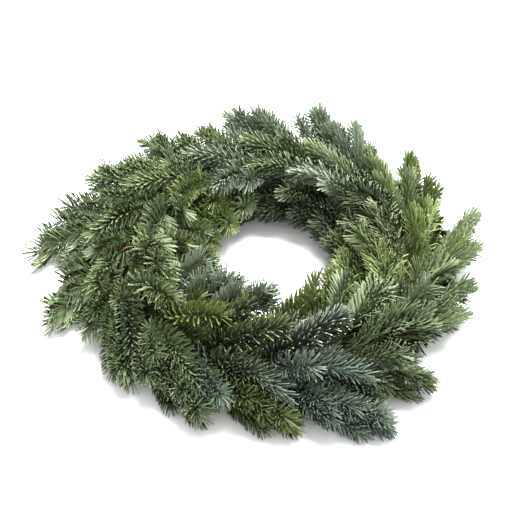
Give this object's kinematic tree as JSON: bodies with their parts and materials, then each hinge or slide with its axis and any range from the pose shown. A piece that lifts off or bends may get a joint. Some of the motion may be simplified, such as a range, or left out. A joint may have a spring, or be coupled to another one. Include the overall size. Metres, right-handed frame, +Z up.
{
  "type": "fresh evergreen wreath",
  "caption": "Round wreath of overlapping fresh fir sprays, tips all running one way, clamped to a hidden wire ring, lying flat with an open middle.",
  "frame": {"origin": "middle of the footprint, on the surface that the wreath lies on", "axes": "+Z up out of the wreath's face; +X to the right and +Y to the back as the picture shows it; the longest side lies along X"},
  "size_m": [0.5066, 0.4758, 0.0909],
  "materials": {
    "glaucous_needles": "matt to softly waxy needles on a woody stem",
    "sage_needles": "matt to softly waxy needles on a woody stem",
    "green_needles": "matt to softly waxy needles on a woody stem",
    "lime_needles": "matt to softly waxy needles on a woody stem",
    "deep_needles": "matt to softly waxy needles on a woody stem",
    "olive_needles": "matt to softly waxy needles on a woody stem",
    "ring_wire": "satin dark green enamel on steel wire"
  },
  "bodies": {
    "root": {"wreath-ring": "ring_wire", "spray-01-inner": "deep_needles", "spray-02-inner": "deep_needles", "spray-03-inner": "deep_needles", "spray-04-inner": "deep_needles", "spray-05-inner": "sage_needles", "spray-06-inner": "sage_needles", "spray-07-inner": "sage_needles", "spray-08-inner": "glaucous_needles", "spray-09-inner": "glaucous_needles", "spray-10-inner": "sage_needles", "spray-11-inner": "sage_needles", "spray-12-inner": "sage_needles", "spray-13-inner": "green_needles", "spray-14-inner": "green_needles", "spray-01-crown-inner": "green_needles", "spray-02-crown-inner": "green_needles", "spray-03-crown-inner": "glaucous_needles", "spray-04-crown-inner": "glaucous_needles", "spray-05-crown-inner": "sage_needles", "spray-06-crown-inner": "glaucous_needles", "spray-07-crown-inner": "green_needles", "spray-08-crown-inner": "lime_needles", "spray-09-crown-inner": "lime_needles", "spray-10-crown-inner": "lime_needles", "spray-11-crown-inner": "deep_needles", "spray-12-crown-inner": "sage_needles", "spray-13-crown-inner": "lime_needles", "spray-14-crown-inner": "green_needles", "spray-01-crown-outer": "green_needles", "spray-02-crown-outer": "glaucous_needles", "spray-03-crown-outer": "sage_needles", "spray-04-crown-outer": "glaucous_needles", "spray-05-crown-outer": "green_needles", "spray-06-crown-outer": "sage_needles", "spray-07-crown-outer": "green_needles", "spray-08-crown-outer": "green_needles", "spray-09-crown-outer": "green_needles", "spray-10-crown-outer": "deep_needles", "spray-11-crown-outer": "sage_needles", "spray-12-crown-outer": "glaucous_needles", "spray-13-crown-outer": "sage_needles", "spray-14-crown-outer": "olive_needles", "spray-01-outer": "green_needles", "spray-02-outer": "glaucous_needles", "spray-03-outer": "olive_needles", "spray-04-outer": "sage_needles", "spray-05-outer": "sage_needles", "spray-06-outer": "green_needles", "spray-07-outer": "green_needles", "spray-08-outer": "sage_needles", "spray-09-outer": "glaucous_needles", "spray-10-outer": "sage_needles", "spray-11-outer": "glaucous_needles", "spray-12-outer": "sage_needles", "spray-13-outer": "sage_needles", "spray-14-outer": "green_needles"}
  },
  "joints": []
}
